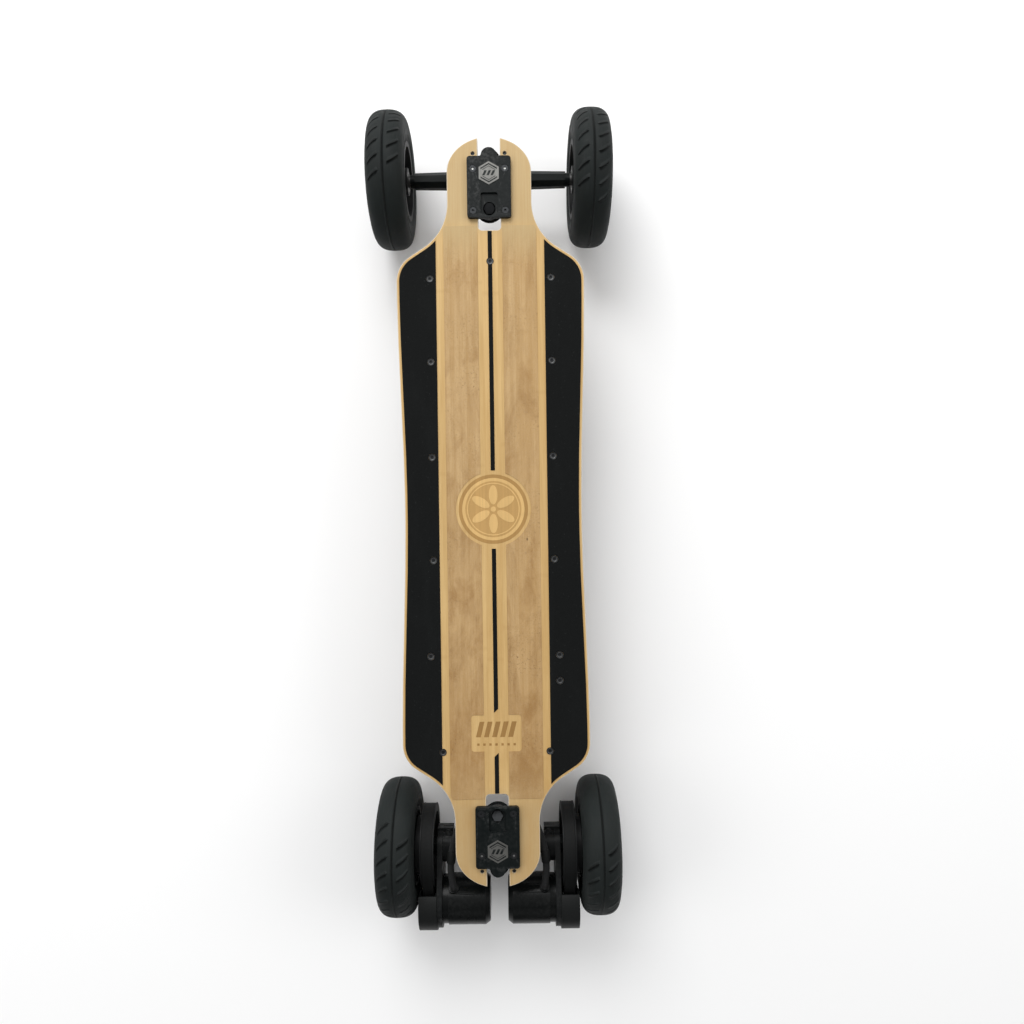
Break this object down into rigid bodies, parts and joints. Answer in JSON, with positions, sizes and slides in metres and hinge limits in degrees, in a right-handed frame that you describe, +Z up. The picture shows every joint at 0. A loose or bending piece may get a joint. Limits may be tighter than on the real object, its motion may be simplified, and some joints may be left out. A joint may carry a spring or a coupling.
{
  "type": "electric skateboard",
  "caption": "All-terrain electric longboard: bamboo deck, drop-through double-kingpin trucks, air tyres, battery case under the deck and a belt-driven rear axle.",
  "frame": {"origin": "on the ground, under the middle of the overall length and width", "axes": "+X to the board's right, +Y towards the nose, +Z up"},
  "size_m": [0.32, 1.111, 0.18],
  "materials": {
    "bamboo": "oiled bamboo ply",
    "black_grip": "coarse black grit",
    "clear_grip": "clear grit coating over bamboo",
    "case_plastic": "textured black",
    "gasket_foam": "closed-cell foam",
    "black_steel": "black oxide",
    "cell_wrap": "heat-shrink sleeve",
    "holder_plastic": "moulded",
    "circuit_green": "solder mask",
    "controller": "heat sink and board",
    "socket_plastic": "moulded",
    "gland_plastic": "nylon",
    "button_steel": "brushed",
    "cap_rubber": "soft",
    "truck_paint": "satin charcoal",
    "badge_metal": "brushed, engraved",
    "bolt_steel": "zinc plated",
    "bushing_rubber": "cast urethane",
    "axle_steel": "ground",
    "mount_paint": "anodised black",
    "can_paint": "gloss black",
    "copper": "copper windings on steel",
    "rotor_steel": "machined",
    "cover_plastic": "moulded",
    "belt_rubber": "toothed belt",
    "lead_rubber": "sheathed lead",
    "gear_plastic": "glass-filled nylon",
    "tyre_rubber": "treaded",
    "rim_plastic": "moulded",
    "bearing_steel": "polished"
  },
  "bodies": {
    "board": {"deck": "bamboo", "side_grip_left": "black_grip", "side_grip_right": "black_grip", "clear_grip_panels": "clear_grip", "centre_strips": "black_grip", "case_shell": "case_plastic", "case_gasket": "gasket_foam", "case_bolts": "black_steel", "battery_cells": "cell_wrap", "cell_holders": "holder_plastic", "battery_board": "circuit_green", "speed_controller": "controller", "charge_socket": "socket_plastic", "cable_glands": "gland_plastic", "front_baseplate": "truck_paint", "rear_baseplate": "truck_paint", "baseplate_badges": "badge_metal", "truck_bolts": "bolt_steel", "front_inner_kingpin": "axle_steel", "rear_inner_kingpin": "axle_steel", "front_inner_bushings": "bushing_rubber", "rear_inner_bushings": "bushing_rubber"},
    "button": {"power_button": "button_steel"},
    "cap": {"charge_cap": "cap_rubber"},
    "front_truck_yoke": {"front_yoke": "truck_paint", "front_outer_kingpin": "axle_steel", "front_outer_bushings": "bushing_rubber"},
    "rear_truck_yoke": {"rear_yoke": "truck_paint", "rear_outer_kingpin": "axle_steel", "rear_outer_bushings": "bushing_rubber"},
    "front_truck_hanger": {"front_hanger": "truck_paint", "front_axle": "axle_steel"},
    "rear_truck_hanger": {"rear_hanger": "truck_paint", "rear_axle": "axle_steel", "motor_mount_left": "mount_paint", "motor_mount_right": "mount_paint", "motor_can_left": "can_paint", "motor_can_right": "can_paint", "motor_stators": "copper", "belt_cover_left": "cover_plastic", "belt_cover_right": "cover_plastic", "drive_belts": "belt_rubber", "motor_leads": "lead_rubber"},
    "rotor_left": {"motor_rotor_left": "rotor_steel"},
    "rotor_right": {"motor_rotor_right": "rotor_steel"},
    "front_wheel_left": {"front_tyre_left": "tyre_rubber", "front_rim_left": "rim_plastic", "front_bearings_left": "bearing_steel"},
    "front_wheel_right": {"front_tyre_right": "tyre_rubber", "front_rim_right": "rim_plastic", "front_bearings_right": "bearing_steel"},
    "rear_wheel_left": {"rear_tyre_left": "tyre_rubber", "rear_rim_left": "rim_plastic", "rear_bearings_left": "bearing_steel", "drive_gear_left": "gear_plastic"},
    "rear_wheel_right": {"rear_tyre_right": "tyre_rubber", "rear_rim_right": "rim_plastic", "rear_bearings_right": "bearing_steel", "drive_gear_right": "gear_plastic"}
  },
  "joints": [
    {"name": "front_inner_tilt", "type": "hinge", "parent": "board", "child": "front_truck_yoke", "pos_m": [0, 0.4675, 0.147], "axis": [0, 0.9188, 0.3947], "range_deg": [-10, 10], "stiffness_Nm_per_rad": 200, "deforming": ["front_inner_bushings"]},
    {"name": "front_outer_tilt", "type": "hinge", "parent": "front_truck_yoke", "child": "front_truck_hanger", "pos_m": [0, 0.4395, 0.08195], "axis": [0, 0.9188, 0.3947], "range_deg": [-10, 10], "stiffness_Nm_per_rad": 200, "deforming": ["front_outer_bushings"]},
    {"name": "rear_inner_tilt", "type": "hinge", "parent": "board", "child": "rear_truck_yoke", "pos_m": [0, -0.4485, 0.147], "axis": [0, -0.9188, 0.3947], "range_deg": [-10, 10], "stiffness_Nm_per_rad": 200, "deforming": ["rear_inner_bushings", "motor_leads"]},
    {"name": "rear_outer_tilt", "type": "hinge", "parent": "rear_truck_yoke", "child": "rear_truck_hanger", "pos_m": [0, -0.4205, 0.08195], "axis": [0, -0.9188, 0.3947], "range_deg": [-10, 10], "stiffness_Nm_per_rad": 200, "deforming": ["rear_outer_bushings", "motor_leads"]},
    {"name": "front_wheel_left_spin", "type": "hinge", "parent": "front_truck_hanger", "child": "front_wheel_left", "pos_m": [-0.135, 0.4655, 0.09], "axis": [1, 0, 0], "continuous": true},
    {"name": "front_wheel_right_spin", "type": "hinge", "parent": "front_truck_hanger", "child": "front_wheel_right", "pos_m": [0.135, 0.4655, 0.09], "axis": [1, 0, 0], "continuous": true},
    {"name": "rear_wheel_left_spin", "type": "hinge", "parent": "rear_truck_hanger", "child": "rear_wheel_left", "pos_m": [-0.135, -0.4465, 0.09], "axis": [1, 0, 0], "continuous": true},
    {"name": "rear_wheel_right_spin", "type": "hinge", "parent": "rear_truck_hanger", "child": "rear_wheel_right", "pos_m": [0.135, -0.4465, 0.09], "axis": [1, 0, 0], "continuous": true},
    {"name": "rotor_left_spin", "type": "hinge", "parent": "rear_truck_hanger", "child": "rotor_left", "pos_m": [-0.04, -0.5165, 0.098], "axis": [1, 0, 0], "continuous": true},
    {"name": "rotor_right_spin", "type": "hinge", "parent": "rear_truck_hanger", "child": "rotor_right", "pos_m": [0.04, -0.5165, 0.098], "axis": [1, 0, 0], "continuous": true},
    {"name": "power_button_press", "type": "slide", "parent": "board", "child": "button", "axis": [-1, 0, 0], "range_m": [0, 0.0015], "stiffness_N_per_m": 600},
    {"name": "charge_cap_hinge", "type": "hinge", "parent": "board", "child": "cap", "pos_m": [0.0868, -0.13604, 0.1405], "axis": [0, -1, 0], "range_deg": [0, 95]}
  ],
  "couplings": [
    {"joint": "rotor_left_spin", "follows": "rear_wheel_left_spin", "ratio": 4.4},
    {"joint": "rotor_right_spin", "follows": "rear_wheel_right_spin", "ratio": 4.4}
  ]
}
